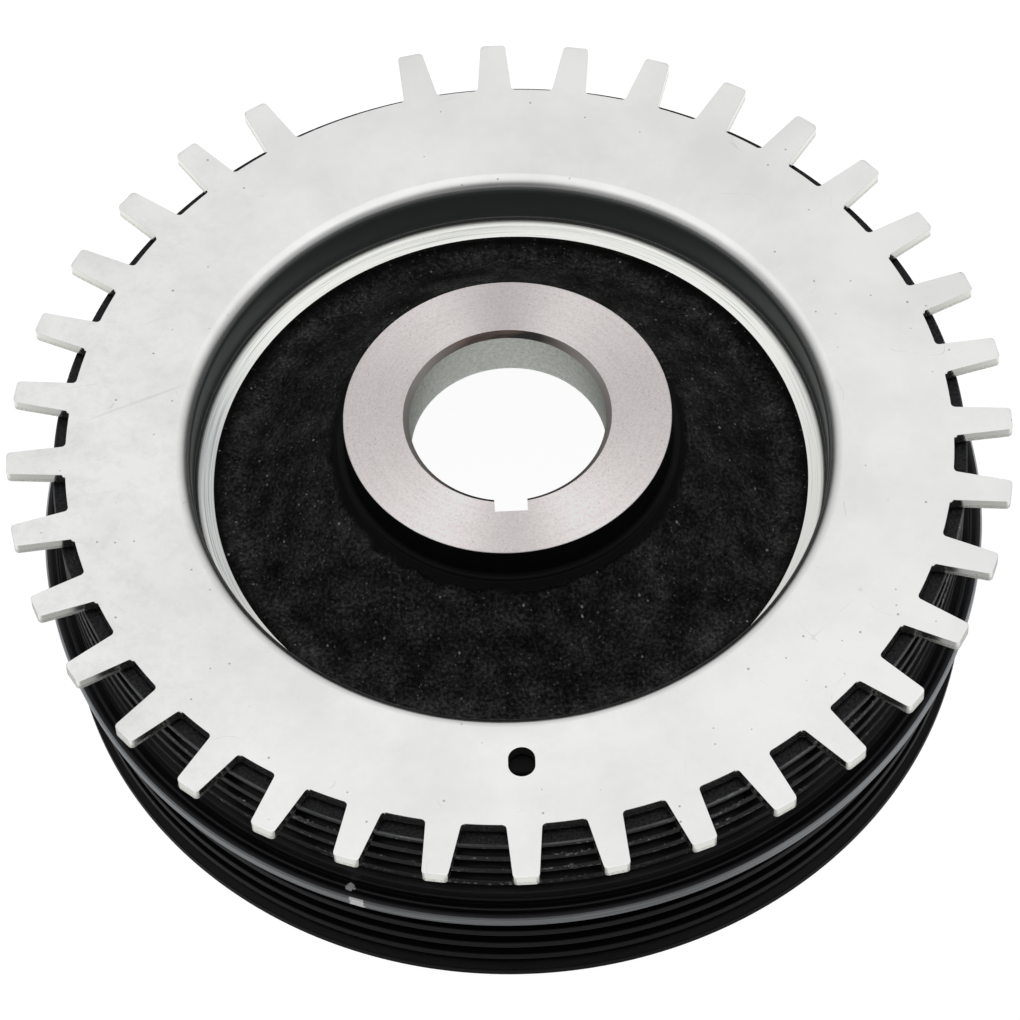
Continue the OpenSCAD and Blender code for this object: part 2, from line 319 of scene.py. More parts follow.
def turned_outward(source, name):
    """A plain copy whose faces point outward and are shaded smooth."""
    piece = plain(source, name)
    work = bmesh.new()
    work.from_mesh(piece.data)
    if work.calc_volume(signed=True) < 0:
        bmesh.ops.reverse_faces(work, faces=work.faces)
    for face in work.faces:
        face.smooth = True
    open_edges = sum(1 for edge in work.edges if len(edge.link_faces) != 2)
    volume = round(work.calc_volume() * 1e6, 2)
    print(name, "faces:", len(work.faces), "open edges:", open_edges, "volume in cm3:", volume)
    work.to_mesh(piece.data)
    work.free()
    return piece


def weighted(piece, name):
    """A plain copy with weighted normals."""
    normals = piece.modifiers.new("weighted normals", "WEIGHTED_NORMAL")
    normals.keep_sharp = True
    normals.weight = 100
    return plain(piece, name)


# %% [markdown]
# ## The rubber's line
# Rim, rubber and ring meet along one line. It bulges at its middle, so that the ring can't creep
# off.

# %% The bulge
LOCK_BULGE, LOCK_LEN, LOCK_STEPS = 1.0, 14.0, 12
LOCK_MID = (RIM_FRONT + RING_TOP) / 2


def lock_line(r, z0, z1, edge):
    """The line at radius r from height z0 to z1, with rounded ends and a bulge in its middle."""
    bulge = []
    for i in range(LOCK_STEPS + 1):
        t = i / LOCK_STEPS
        out = LOCK_BULGE * (1 - math.cos(math.tau * t)) / 2
        bulge.append([r + out, LOCK_MID + LOCK_LEN * (t - 0.5), 0])
    return [[r, z0, edge]] + bulge + [[r, z1, edge]]


# %% [markdown]
# ## The hub
# One iron casting. The boss face, the bore and the rim are machined, the web between them stays as
# it left the sand. Its outline runs from the bore through the dish on the front side, around the
# rim, and back over the web.

# %% Hub outline
CHAMFER = 0.9
hub_line = outline(
    "hub_outline",
    [
        [BORE_R, BOSS_FRONT + CHAMFER, 0.08],
        [BORE_R + CHAMFER, BOSS_FRONT, 0.08],
        [DISH_IN_R, BOSS_FRONT, 3],
        [WEB_OUT_R, DISH_TOP, 3],
        [DISH_R, DISH_TOP, 4],
        [DISH_FRONT_R, RIM_FRONT, 0.8],
    ]
    + lock_line(RIM_R, RIM_FRONT, RIM_TOP, 0.8)
    + [
        [CUP_OUT_R + 0.4, RIM_TOP, 0.1],
        [CUP_OUT_R, RIM_TOP - 0.4, 0.1],
        [CUP_OUT_R, SEAT_Z, 1.5],
        [WEB_OUT_R, SEAT_Z, 3],
        [WEB_IN_R, WEB_TOP, 0.25],
        [LEDGE_R, LEDGE_Z, 0.2],
        [BOSS_R, LEDGE_Z, 0.8],
        [BOSS_R, BOSS_TOP, 0.15],
        [BORE_R + CHAMFER, BOSS_TOP, 0.08],
        [BORE_R, BOSS_TOP - CHAMFER, 0.08],
    ],
)
run(hub_line, lathe, Rounding_Steps=5)
hub_casting = turned_outward(hub_line, "hub_casting")

# %% [markdown]
# The keyway is broached through the boss with square corners. An exact boolean with a box cuts it.

# %% Keyway
KEY_W, KEY_DEPTH = 5.0, 2.5
work = bmesh.new()
bmesh.ops.create_cube(work, size=1)
for vert in work.verts:
    vert.co.x *= KEY_W * MM
    vert.co.y = (-BORE_R - KEY_DEPTH + (vert.co.y + 0.5) * (BORE_R + KEY_DEPTH)) * MM
    vert.co.z = (BOSS_FRONT - 1 + (vert.co.z + 0.5) * (BOSS_TOP - BOSS_FRONT + 2)) * MM
mesh = bpy.data.meshes.new("keyway_cutter")
work.to_mesh(mesh)
work.free()
cutter = new_object("keyway_cutter", mesh)
cut = hub_casting.modifiers.new("keyway", "BOOLEAN")
cut.operation = "DIFFERENCE"
cut.solver = "EXACT"
cut.object = cutter
hub = weighted(hub_casting, "hub_skin")
bpy.data.objects.remove(cutter)
bpy.data.meshes.remove(mesh)
print("hub faces:", len(hub.data.polygons))

# %% [markdown]
# ## The rubber
# Moulded between rim and ring, and only its two ends show, set back a little.

# %% Rubber
RUBBER_ENDS = (3.3, 36.4)
rubber_line = outline(
    "rubber_outline",
    lock_line(RIM_R, *RUBBER_ENDS, 1.2) + lock_line(RING_IN_R, *RUBBER_ENDS, 1.2)[::-1],
)
run(rubber_line, lathe, Rounding_Steps=4)
rubber = weighted(turned_outward(rubber_line, "rubber_band"), "rubber_skin")

# %% [markdown]
# ## The outer ring
# A ribbed belt runs in each of its two tracks. The grooves repeat at the belts' standard pitch, so
# a tree makes them: four corners for each groove, placed by their number. It joins them to the
# rest of the outline, which is open where the tracks belong.

# %% Belt track tree
GROOVE_DEPTH = 2.2
track, given = new_tree(
    "belt_track",
    Grooves=4,
    Start_Height=0.0,
    Rib_Radius=RIB_R * MM,
    Pitch=3.56 * MM,
    Depth=GROOVE_DEPTH * MM,
    Opening=2.06 * MM,
    Floor_Width=0.4585 * MM,
    Crest_Rounding=0.3 * MM,
    Root_Rounding=0.2 * MM,
)
number = add(track, "InputIndex")
corner = add(track, "Math", number, 4.0, operation="FLOORED_MODULO")
groove = add(track, "Math", add(track, "Math", number, 4.0, operation="DIVIDE"), operation="FLOOR")
rib, opening = given["Rib Radius"], given["Opening"]
bottom = add(track, "Math", rib, given["Depth"], operation="SUBTRACT")
radius = add(track, "IndexSwitch", corner, rib, bottom, bottom, rib, data_type="FLOAT")
half_floor = add(track, "Math", given["Floor Width"], 0.5, operation="MULTIPLY")
half_open = add(track, "Math", opening, 0.5, operation="MULTIPLY")
lower = add(track, "Math", half_open, half_floor, operation="SUBTRACT")
upper = add(track, "Math", half_open, half_floor, operation="ADD")
height = add(track, "IndexSwitch", corner, 0.0, lower, upper, opening, data_type="FLOAT")
height = add(track, "Math", groove, given["Pitch"], height, operation="MULTIPLY_ADD")
height = add(track, "Math", height, given["Start Height"], operation="ADD")
place = add(track, "CombineXYZ", radius, height)
count = add(track, "Math", given["Grooves"], 4.0, operation="MULTIPLY")
line = add(track, "MeshLine", count)
line = add(track, "SetPosition", line, Position=place)
crest, root = given["Crest Rounding"], given["Root Rounding"]
rounding = add(track, "IndexSwitch", corner, crest, root, root, crest, data_type="FLOAT")
on_points = {"data_type": "FLOAT", "domain": "POINT"}
line = add(track, "StoreNamedAttribute", line, Name="rounding", Value=rounding, **on_points)
both = add(track, "JoinGeometry")
for part in (given["Geometry"], line.outputs[0]):
    track.links.new(part, both.inputs[0])
joined = add(track, "MergeByDistance", both, Distance=0.01 * MM)
joined = add(track, "RealizeInstances", joined)
joined = add(track, "SetMaterial", joined, Material=given["Material"])
add(track, "Output", joined)
print("belt track nodes:", len(track.nodes))

# %% [markdown]
# The first groove's front side runs on up to the lip, so its corners are in the outline. The tree
# adds the other four in front of the flange, and the four behind it. At the rear edge the turning
# tool has left a lip of about a tenth of a millimetre.

# %% Outer ring
FRONT_TRACK, REAR_TRACK = 5.36, 24.26
FIRST_GROOVE_Z = 4.5
REAR_LIP = 0.12
GROOVE_R = RIB_R - GROOVE_DEPTH
ring_line = outline(
    "ring_outline",
    [
        [RIB_R, 37.0, 0.3],
        [RIB_R, RING_TOP - 0.5, 0.05],
        [RIB_R + REAR_LIP, RING_TOP - 0.4, 0.05],
        [RIB_R + REAR_LIP, RING_TOP - 0.05, 0.03],
        [RIB_R + REAR_LIP - 0.05, RING_TOP, 0.03],
        [RING_IN_R + 0.8, RING_TOP, 0.1],
    ]
    + lock_line(RING_IN_R, 0.8, RING_TOP - 0.8, 0.1)[::-1]
    + [
        [RING_IN_R + 0.8, 0, 0.1],
        [LIP_R - 0.3, 0, 0.1],
        [LIP_R, 0.3, 0.1],
        [LIP_R, 1.582, 0.3],
        [GROOVE_R, 2.6007, 0.2],
        [GROOVE_R, 3.0593, 0.2],
        [RIB_R, 3.86, 0.3],
        [RIB_R, FRONT_TRACK, 0.3],
    ],
    [
        [RIB_R, 18.1, 0.3],
        [RIB_R, FLANGE_Z, 0.1],
        [FLANGE_R - 0.3, FLANGE_Z, 0.1],
        [FLANGE_R, FLANGE_Z + 0.3, 0.1],
        [FLANGE_R, FLANGE_TOP - 0.3, 0.1],
        [FLANGE_R - 0.3, FLANGE_TOP, 0.1],
        [STEP_R, FLANGE_TOP, 0.1],
        [STEP_R, FLANGE_TOP - 0.4, 0.1],
        [RIB_R, FLANGE_TOP - 0.4, 0.1],
        [RIB_R, REAR_TRACK, 0.3],
    ],
)
run(ring_line, track, Grooves=4, Start_Height=FRONT_TRACK * MM)
run(ring_line, track, Grooves=4, Start_Height=REAR_TRACK * MM)
run(ring_line, lathe, Rounding_Steps=3)
ring = weighted(turned_outward(ring_line, "pulley_ring"), "ring_skin")

# %% [markdown]
# ## The trigger wheel
# Pressed from one sheet: stamped round with 36 places for teeth, one of them left out so that the
# sensor knows where a turn begins, and then drawn to a cup in the middle. A tree makes it. It sets
# seven points for each place by angle and radius and rounds their corners. The filled outline is
# extruded by the sheet's thickness, and the cup, spun by the lathe, closes it in the middle.

# %% Toothed wheel tree: its outline
CORNERS = 7
pressing, given = new_tree(
    "toothed_wheel",
    Places=36,
    Missing_Place=11,
    Disc_Radius=DISC_R * MM,
    Tip_Radius=TIP_R * MM,
    Tip_Width=3.9 * MM,
    Foot_Width=5.35 * MM,
    Tip_Rounding=0.7 * MM,
    Foot_Rounding=0.7 * MM,
    Corner_Steps=4,
    Mouth_Radius=MOUTH_R * MM,
    Timing_Radius=57.3 * MM,
    Timing_Width=4 * MM,
    Timing_Length=5 * MM,
    Sheet_Under=SHEET_UNDER * MM,
    Sheet_Thickness=(SHEET_TOP - SHEET_UNDER) * MM,
)
disc = given["Disc Radius"]
number = add(pressing, "InputIndex")
which = add(pressing, "Math", number, float(CORNERS), operation="FLOORED_MODULO")
tooth = add(pressing, "Math", number, float(CORNERS), operation="DIVIDE")
tooth = add(pressing, "Math", tooth, operation="FLOOR")
missing = add(pressing, "Math", tooth, given["Missing Place"], 0.5, operation="COMPARE")
pitch = add(pressing, "Math", math.tau, given["Places"], operation="DIVIDE")

# Half the angle that a foot and a tip take up, as seen from the axis
foot = add(pressing, "Math", given["Foot Width"], disc, operation="DIVIDE")
foot = add(pressing, "Math", foot, 0.5, operation="MULTIPLY")
foot = add(pressing, "Math", foot, operation="ARCSINE")
tip = add(pressing, "Math", given["Tip Width"], given["Tip Radius"], operation="DIVIDE")
tip = add(pressing, "Math", tip, 0.5, operation="MULTIPLY")
tip = add(pressing, "Math", tip, operation="ARCTANGENT")
tip_r = add(pressing, "Math", tip, operation="COSINE")
tip_r = add(pressing, "Math", given["Tip Radius"], tip_r, operation="DIVIDE")
tip_r = add(pressing, "IndexSwitch", missing, tip_r, disc, data_type="FLOAT")

# The corners of a place: its start, a point before the tooth, foot, tip, tip, foot, a point after
start, early, late, foot_back, tip_back = (
    add(pressing, "Math", turn, share, operation="MULTIPLY")
    for turn, share in ((pitch, -0.5), (pitch, -0.36), (pitch, 0.36), (foot, -1.0), (tip, -1.0))
)
angles = (start, early, foot_back, tip_back, tip, foot, late)
radii = (disc, disc, disc, tip_r, tip_r, disc, disc)
foot_round, tip_round = given["Foot Rounding"], given["Tip Rounding"]
roundings = (0.0, 0.0, foot_round, tip_round, tip_round, foot_round, 0.0)
angle, radius, rounding = (
    add(pressing, "IndexSwitch", which, *corners, data_type="FLOAT")
    for corners in (angles, radii, roundings)
)
angle = add(pressing, "Math", tooth, pitch, angle, operation="MULTIPLY_ADD")
x, y = (add(pressing, "Math", angle, operation=ratio) for ratio in ("COSINE", "SINE"))
x, y = (add(pressing, "Math", radius, share, operation="MULTIPLY") for share in (x, y))
place = add(pressing, "CombineXYZ", x, y)
rounding = add(pressing, "IndexSwitch", missing, rounding, 0.0, data_type="FLOAT")

points = add(pressing, "Math", given["Places"], float(CORNERS), operation="MULTIPLY")
loop = add(pressing, "CurvePrimitiveCircle", Resolution=points, Radius=disc)
loop = add(pressing, "SetPosition", loop, Position=place)
fillet = {"mode": "POLY", "Limit_Radius": True, "Radius": rounding}
loop = add(pressing, "FilletCurve", loop, Count=given["Corner Steps"], **fillet)

# %% Toothed wheel tree: its holes
mouth = add(pressing, "CurvePrimitiveCircle", Resolution=AROUND, Radius=given["Mouth Radius"])
# The timing hole starts as a circle, and its two halves move apart along the radius
hole_r = add(pressing, "Math", given["Timing Width"], 0.5, operation="MULTIPLY")
hole = add(pressing, "CurvePrimitiveCircle", Resolution=42, Radius=hole_r)
y = add(pressing, "SeparateXYZ", add(pressing, "InputPosition")).outputs["Y"]
side = add(pressing, "Math", y, operation="SIGN")
longer = add(pressing, "Math", given["Timing Length"], given["Timing Width"], operation="SUBTRACT")
longer = add(pressing, "Math", longer, 0.5, operation="MULTIPLY")
middle = add(pressing, "Math", given["Timing Radius"], -1.0, operation="MULTIPLY")
apart = add(pressing, "Math", side, longer, middle, operation="MULTIPLY_ADD")
hole = add(pressing, "SetPosition", hole, Offset=add(pressing, "CombineXYZ", 0.0, apart))
loops = add(pressing, "JoinGeometry")
for part in (loop, mouth, hole):
    pressing.links.new(part.outputs[0], loops.inputs[0])

# %% Toothed wheel tree: its thickness and its cup
under = add(pressing, "FillCurve", loops, mode="TRIANGLES")
lower = add(pressing, "CombineXYZ", 0.0, 0.0, given["Sheet Under"])
under = add(pressing, "SetPosition", under, Offset=lower)
up = add(pressing, "CombineXYZ", 0.0, 0.0, 1.0)
thick = {"Offset": up, "Offset_Scale": given["Sheet Thickness"], "Individual": False}
plate = add(pressing, "ExtrudeMesh", under, mode="FACES", **thick)
# The wall inside the cup's mouth goes, because the cup's bend takes its place
flat = add(pressing, "VectorMath", add(pressing, "InputPosition"), (1, 1, 0), operation="MULTIPLY")
reach = add(pressing, "VectorMath", flat, operation="LENGTH")
limit = add(pressing, "Math", given["Mouth Radius"], 0.01 * MM, operation="ADD")
inner = add(pressing, "Math", reach, limit, operation="LESS_THAN")
mouth_wall = add(pressing, "Math", inner, plate.outputs["Side"], operation="MULTIPLY")
open_plate = add(pressing, "DeleteGeometry", plate.outputs["Mesh"], mouth_wall, domain="FACE")
under = add(pressing, "FlipFaces", under)
cup = add(pressing, "Group", node_tree=lathe)
pressing.links.new(given["Geometry"], cup.inputs["Geometry"])
cup.inputs["Rounding Steps"].default_value = 6
both = add(pressing, "JoinGeometry")
for part in (open_plate, under, cup):
    pressing.links.new(part.outputs[0], both.inputs[0])
whole = add(pressing, "MergeByDistance", both, Distance=0.005 * MM)
whole = add(pressing, "RealizeInstances", whole)
whole = add(pressing, "SetMaterial", whole, Material=given["Material"])
add(pressing, "Output", whole)
print("toothed wheel nodes:", len(pressing.nodes))

# %% [markdown]
# The cup's section is an open line from the sheet's underside round the cup's hole to its upper
# face. Its floor falls a little towards the hole, as the punch left it, and so it catches the
# light. The die rolls the upper edges over a little before it cuts through, and leaves the lower
# ones sharper. A bevel with a weight for each edge does both.

# %% Trigger wheel
CUP_FLOOR_FALL = 0.7
cup_line = outline(
    "cup_outline",
    [
        [MOUTH_R, SHEET_UNDER, 0],
        [CUP_OUT_R, SHEET_UNDER, 0.4],
        [CUP_OUT_R, SEAT_Z, 3.6],
        [CUP_HOLE_R, SEAT_Z, 0],
        [CUP_HOLE_R, CUP_FLOOR - CUP_FLOOR_FALL, 0],
        [CUP_IN_R, CUP_FLOOR, 1.6],
        [CUP_IN_R, SHEET_TOP, 2.4],
        [MOUTH_R, SHEET_TOP, 0],
    ],
    [],
)
run(cup_line, pressing)
wheel_pressing = turned_outward(cup_line, "wheel_pressing")
DIE_ROLL, LOWER_SHARE = 0.3, 0.3
work = bmesh.new()
work.from_mesh(wheel_pressing.data)
weight = work.edges.layers.float.new("bevel_weight_edge")
for stamped in work.edges:
    if stamped.calc_face_angle(0) > math.radians(50):
        rolled = min(vert.co.z for vert in stamped.verts) > (SHEET_TOP - 0.01) * MM
        stamped[weight] = 1.0 if rolled else LOWER_SHARE
work.to_mesh(wheel_pressing.data)
work.free()
broken = wheel_pressing.modifiers.new("stamped edges", "BEVEL")
broken.width = DIE_ROLL * MM
broken.segments = 3
broken.limit_method = "WEIGHT"
wheel = weighted(wheel_pressing, "wheel_skin")
print("wheel faces:", len(wheel.data.polygons))

# %% [markdown]
# ## Where a finish sits on the part
# Every pattern here follows the part: turning marks run round the axis, and wear sits at an edge.
# So each material starts from a point in millimetres on Object coordinates, and `about_axis` says
# where that point lies round the crank axis. `ring_marks` stretches the point round the axis, so
# that noise read there turns into fine rings. Shares from 0 to 1 say how much of a colour a place
# gets.


# %% Coordinates in mm
def finish(name):
    """An empty material, its tree, and the point in mm that its patterns read."""
    material = bpy.data.materials.new(name)
    material.use_nodes = True
    tree = material.node_tree
    tree.nodes.clear()
    point = add(tree, "TexCoord").outputs["Object"]
    return material, tree, add(tree, "VectorMath", point, Scale=1 / MM, operation="SCALE")


def about_axis(tree, point):
    """How far a point is from the axis, its height, and the direction away from the axis."""
    level = add(tree, "VectorMath", point, (1, 1, 0), operation="MULTIPLY")
    radius = add(tree, "VectorMath", level, operation="LENGTH")
    height = add(tree, "SeparateXYZ", point).outputs["Z"]
    return radius, height, add(tree, "VectorMath", level, operation="NORMALIZE").outputs[0]


def sideways(tree, outward):
    """0 at the near and the far side of the axis, 1 left and right of it."""
    return add(tree, "Math", add(tree, "SeparateXYZ", outward).outputs["X"], operation="ABSOLUTE")


# %% Patterns
def ring_marks(tree, radius, height, outward, around, across, **noise):
    """Rings of noise, with so many features in a turn and in a millimetre."""
    turn = add(tree, "VectorMath", outward, Scale=around / math.tau, operation="SCALE")
    depth = add(tree, "Math", radius, height, operation="ADD")
    depth = add(tree, "Math", depth, across, operation="MULTIPLY")
    place = add(tree, "VectorMath", turn, add(tree, "CombineXYZ", 0.0, 0.0, depth), operation="ADD")
    return add(tree, "TexNoise", Vector=place, Scale=1.0, **noise)


def specks(tree, point, cells, size, share):
    """Dots of a random place and size: so many cells in a millimetre, of which a share is used."""
    dots = add(tree, "TexVoronoi", Vector=point, Scale=cells, voronoi_dimensions="2D")
    lot = add(tree, "SeparateColor", dots.outputs["Color"]).outputs
    used = add(tree, "Math", lot[0], 1 - share, operation="GREATER_THAN")
    reach = add(tree, "Math", lot[1], size * 0.6, size * 0.4, operation="MULTIPLY_ADD")
    inside = add(tree, "Math", reach, dots.outputs["Distance"], operation="SUBTRACT")
    dot = add(tree, "MapRange", inside, 0.0, size * 0.3, **SMOOTH)
    return add(tree, "Math", used, dot, operation="MULTIPLY")


def fleck(tree, point, place, reach):
    """1 within a ragged patch round a place."""
    away = add(tree, "VectorMath", point, place, operation="DISTANCE")
    ragged = add(tree, "TexNoise", Vector=point, Scale=1.1, Detail=3.0, Roughness=0.7)
    away = add(tree, "Math", ragged, reach * 1.6, away, operation="MULTIPLY_ADD")
    return add(tree, "MapRange", away, reach * 1.8 + 0.06, reach * 1.8 - 0.06)


def line_at(tree, value, place, gone, full, share=1.0):
    """A line where a value passes a place: its full share this near to it, and gone beyond that."""
    off = add(tree, "Math", value, place, operation="SUBTRACT")
    off = add(tree, "Math", off, operation="ABSOLUTE")
    return add(tree, "MapRange", off, gone, full, 0.0, share)


def surface(tree, relief, depth, strength, **sockets):
    """Ends a material: a bump so many mm deep, the shader with its sockets, and the output."""
    normal = add(tree, "Bump", Height=relief, Distance=depth * MM, Strength=strength)
    add(tree, "OutputMaterial", add(tree, "BsdfPrincipled", Normal=normal, **sockets))


# %% [markdown]
# ## Zinc plate
# The wheel is cold rolled steel sheet with clear zinc plating. That gives the eye a bright, pale
# metal whose reflections are soft, with faint smudges, a few specks, and a little dirt on the
# left. The cup's wall mirrors the black web, and its dark grey colour is painted shade for that,
# so it looks nearly black. The cup's floor was struck flat. It is pale, with fine dark rings, and
# darker on the left, a painted shade whose edge wavers with the rings.

# %% Zinc plated sheet
RUB_PLACE = (-57.1, 10.3, SHEET_TOP)
RUB_WAYS = (0.93, 0.36, 0), (-0.36, 0.93, 0)
zinc, tree, point = finish("zinc_plated_sheet")
radius, height, outward = about_axis(tree, point)
smudge = add(tree, "TexNoise", Vector=point, Scale=0.06, Detail=3.0)
cloud = add(tree, "TexNoise", Vector=point, Scale=0.7, Detail=5.0, Roughness=0.65)
shade = add(tree, "Math", smudge, 0.85, operation="MULTIPLY")
shade = add(tree, "Math", cloud, 0.15, shade, operation="MULTIPLY_ADD")
shade = add(tree, "MapRange", shade, 0.35, 0.62)

# Dirt on the left of the axis, specks, fine hair marks, and one long rub near a tooth
left = add(tree, "SeparateXYZ", point).outputs["X"]
left = add(tree, "MapRange", left, -28.0, -62.0)
dirt = add(tree, "TexNoise", Vector=point, Scale=0.22, Detail=6.0, Roughness=0.75)
dirt = add(tree, "MapRange", dirt, 0.46, 0.72, 0.0, 0.15)
dirt = add(tree, "Math", dirt, left, operation="MULTIPLY")
hair = add(tree, "TexNoise", Vector=point, Scale=0.11, Detail=0.0)
hair = line_at(tree, hair, 0.5, 0.003, 0.0)
short = add(tree, "TexNoise", Vector=point, Scale=0.33, Detail=1.0)
short = add(tree, "MapRange", short, 0.56, 0.64, 0.0, 0.18)
hair = add(tree, "Math", hair, short, operation="MULTIPLY")
offset = add(tree, "VectorMath", point, RUB_PLACE, operation="SUBTRACT")
along, across = (add(tree, "VectorMath", offset, way, operation="DOT_PRODUCT") for way in RUB_WAYS)
rub = line_at(tree, across, 0.0, 0.35, 0.0, 0.14)
rub = add(tree, "Math", rub, line_at(tree, along, 0.0, 8.4, 6.0), operation="MULTIPLY")
soiled = specks(tree, point, 0.35, 0.09, 0.08)
soiled = add(tree, "Math", soiled, 0.55, hair, operation="MULTIPLY_ADD")
soiled = add(tree, "Math", soiled, rub, operation="ADD")
soiled = add(tree, "Math", soiled, dirt, operation="ADD", use_clamp=True)

# %% The same sheet in the cup
# 1 on the cup's wall, and 1 on its floor
below = add(tree, "MapRange", height, SHEET_TOP - 0.6, SHEET_TOP - 1.7, **SMOOTH)
above = add(tree, "MapRange", height, CUP_FLOOR + 0.5, CUP_FLOOR + 0.9, **SMOOTH)
cup_wall = add(tree, "Math", below, above, operation="MULTIPLY")
struck = add(tree, "Math", below, above, operation="SUBTRACT", use_clamp=True)
rings = ring_marks(tree, radius, height, outward, 14.0, 5.0, Detail=3.0)
dark_ring = add(tree, "MapRange", rings, 0.54, 0.68, 0.0, 0.4)
dark_ring = add(tree, "Math", dark_ring, below, operation="MULTIPLY")
# Painted shade: the cup's floor darker on the left, its edge wavering with the rings
side = add(tree, "SeparateXYZ", outward).outputs["X"]
painted_left_shade = add(tree, "Math", rings, -0.7, side, operation="MULTIPLY_ADD")
painted_left_shade = add(tree, "MapRange", painted_left_shade, -1.08, -1.5, 0.0, 0.65, **SMOOTH)
painted_left_shade = add(tree, "Math", painted_left_shade, struck, operation="MULTIPLY")

# One shade over the other, from the clean plate up. The cup wall's dark grey and the floor's
# darker left are painted shade.
colour = "#E5E5E4"
for share, tint in (
    (shade, "#F1F1F0"),
    (soiled, "#6E6E66"),
    (struck, "#ECEDE8"),
    (dark_ring, "#8B8F90"),
    (painted_left_shade, "#8C949C"),
    (cup_wall, "#5C6261"),
):
    colour = add(tree, "Mix", share, colour, tint, data_type="RGBA")

grain = add(tree, "TexNoise", Vector=point, Scale=3.0, Detail=3.0)
relief = add(tree, "Math", rings, struck, operation="MULTIPLY")
relief = add(tree, "Math", grain, 0.5, relief, operation="MULTIPLY_ADD")
rough = add(tree, "MapRange", smudge, 0.3, 0.7, 0.20, 0.25)
rough = add(tree, "Math", cup_wall, 0.08, rough, operation="MULTIPLY_ADD")
metal = add(tree, "MapRange", cup_wall, 0.0, 1.0, 1.0, 0.35)
plated = {"Metallic": metal, "Roughness": rough, "Specular_Tint": "#C0C0C0"}
surface(tree, relief, 0.006, 1.0, Base_Color=colour, **plated)

# %% [markdown]
# A stamping die shears the upper part of the edge smooth and tears the rest. The torn part is
# rough and holds a little dirt, and a dark line runs where it begins.

# %% Stamped edge
DENT_PLACE = (69.5, -27.1, 39.7)
edge, tree, point = finish("zinc_stamped_edge")
height = add(tree, "SeparateXYZ", point).outputs["Z"]
coarse = add(tree, "TexNoise", Vector=point, Scale=1.3, Detail=4.0, Roughness=0.7)
wander = add(tree, "Math", coarse, 0.5, height, operation="MULTIPLY_ADD")
torn = add(tree, "MapRange", wander, SHEET_TOP - 0.9, SHEET_TOP - 1.3, **SMOOTH)
fine = add(tree, "TexNoise", Vector=point, Scale=4.0, Detail=4.0, Roughness=0.7)
dirt = add(tree, "MapRange", fine, 0.42, 0.62, 0.0, 0.6)
dirt = add(tree, "Math", dirt, torn, operation="MULTIPLY")
dirt = add(tree, "Math", dirt, line_at(tree, torn, 0.35, 0.3, 0.0, 0.7), operation="MAXIMUM")
colour = add(tree, "Mix", dirt, "#ECECE6", "#8B8A80", data_type="RGBA")
# A dented spot on one tooth's edge, given as a dark patch of painted shade
painted_dent_shade = fleck(tree, point, DENT_PLACE, 0.4)
colour = add(tree, "Mix", painted_dent_shade, colour, "#2A2A28", data_type="RGBA")
relief = add(tree, "Math", fine, torn, operation="MULTIPLY")
rough = add(tree, "MapRange", torn, 0.0, 1.0, 0.14, 0.22)
surface(tree, relief, 0.03, 0.8, Base_Color=colour, Metallic=1.0, Roughness=rough)

# %% [markdown]
# ## Bare turned iron
# The boss face was faced on a lathe last of all, so it is bare grey iron with fine rings. Rings
# stretch a reflection across themselves, so the face is brighter left and right than at its near
# and far side. The shader's anisotropy does this, with its tangent laid along the radius, and a
# painted reflection in the colour helps it: darker near and far, lighter left and right, and
# lighter towards the near side.

# %% Turned boss face
turned_face, tree, point = finish("bare_turned_iron")
radius, height, outward = about_axis(tree, point)
rings = ring_marks(tree, radius, height, outward, 6.0, 7.0, Detail=4.0, Roughness=0.6)
grain = add(tree, "TexNoise", Vector=point, Scale=2.6, Detail=3.0, Roughness=0.6)
shade = add(tree, "Math", grain, 0.6, operation="MULTIPLY")
shade = add(tree, "Math", rings, 0.4, shade, operation="MULTIPLY_ADD")
shade = add(tree, "MapRange", shade, 0.35, 0.58)
colour = add(tree, "Mix", shade, "#E4DCDB", "#F8F2F1", data_type="RGBA")
# Painted reflection: darker near and far of the axis, lighter to the sides and on the near half
side = sideways(tree, outward)
painted_reflection = add(tree, "MapRange", side, 0.0, 0.5, 0.78, 1.0, **SMOOTH)
painted_flank_shade = add(tree, "MapRange", side, 0.5, 1.0, 1.0, 0.88)
near = add(tree, "SeparateXYZ", outward).outputs["Y"]
near = add(tree, "MapRange", near, 0.3, -0.8, 1.0, 1.16)
for share in (painted_flank_shade, near):
    painted_reflection = add(tree, "Math", painted_reflection, share, operation="MULTIPLY")
colour = add(tree, "VectorMath", colour, Scale=painted_reflection, operation="SCALE")
pits = specks(tree, point, 1.2, 0.17, 0.2)
pits = add(tree, "Math", pits, 0.3, operation="MULTIPLY")
colour = add(tree, "Mix", pits, colour, "#6A5E5C", data_type="RGBA")
brushed = {"Metallic": 1.0, "Roughness": 0.46, "Anisotropic": 0.9, "Tangent": outward}
surface(tree, rings, 0.004, 1.0, Base_Color=colour, **brushed)

# %% [markdown]
# The bore is honed to size, and matt. Its chamfer has stained a little brown, and its colour is
# lighter left and right, a painted reflection.

# %% Bore and chamfer
bore_iron, tree, point = finish("honed_bore_iron")
mottle = add(tree, "TexNoise", Vector=point, Scale=1.6, Detail=6.0, Roughness=0.8)
mottle = add(tree, "MapRange", mottle, 0.38, 0.62)
colour = add(tree, "Mix", mottle, "#CBD0C8", "#F0F4EC", data_type="RGBA")
surface(tree, mottle, 0.02, 0.5, Base_Color=colour, Metallic=0.6, Roughness=0.48)

stained, tree, point = finish("stained_chamfer_iron")
radius, height, outward = about_axis(tree, point)
patch = ring_marks(tree, radius, height, outward, 9.0, 0.4, Detail=3.0)
patch = add(tree, "MapRange", patch, 0.45, 0.62)
colour = add(tree, "Mix", patch, "#4A4846", "#8A7770", data_type="RGBA")
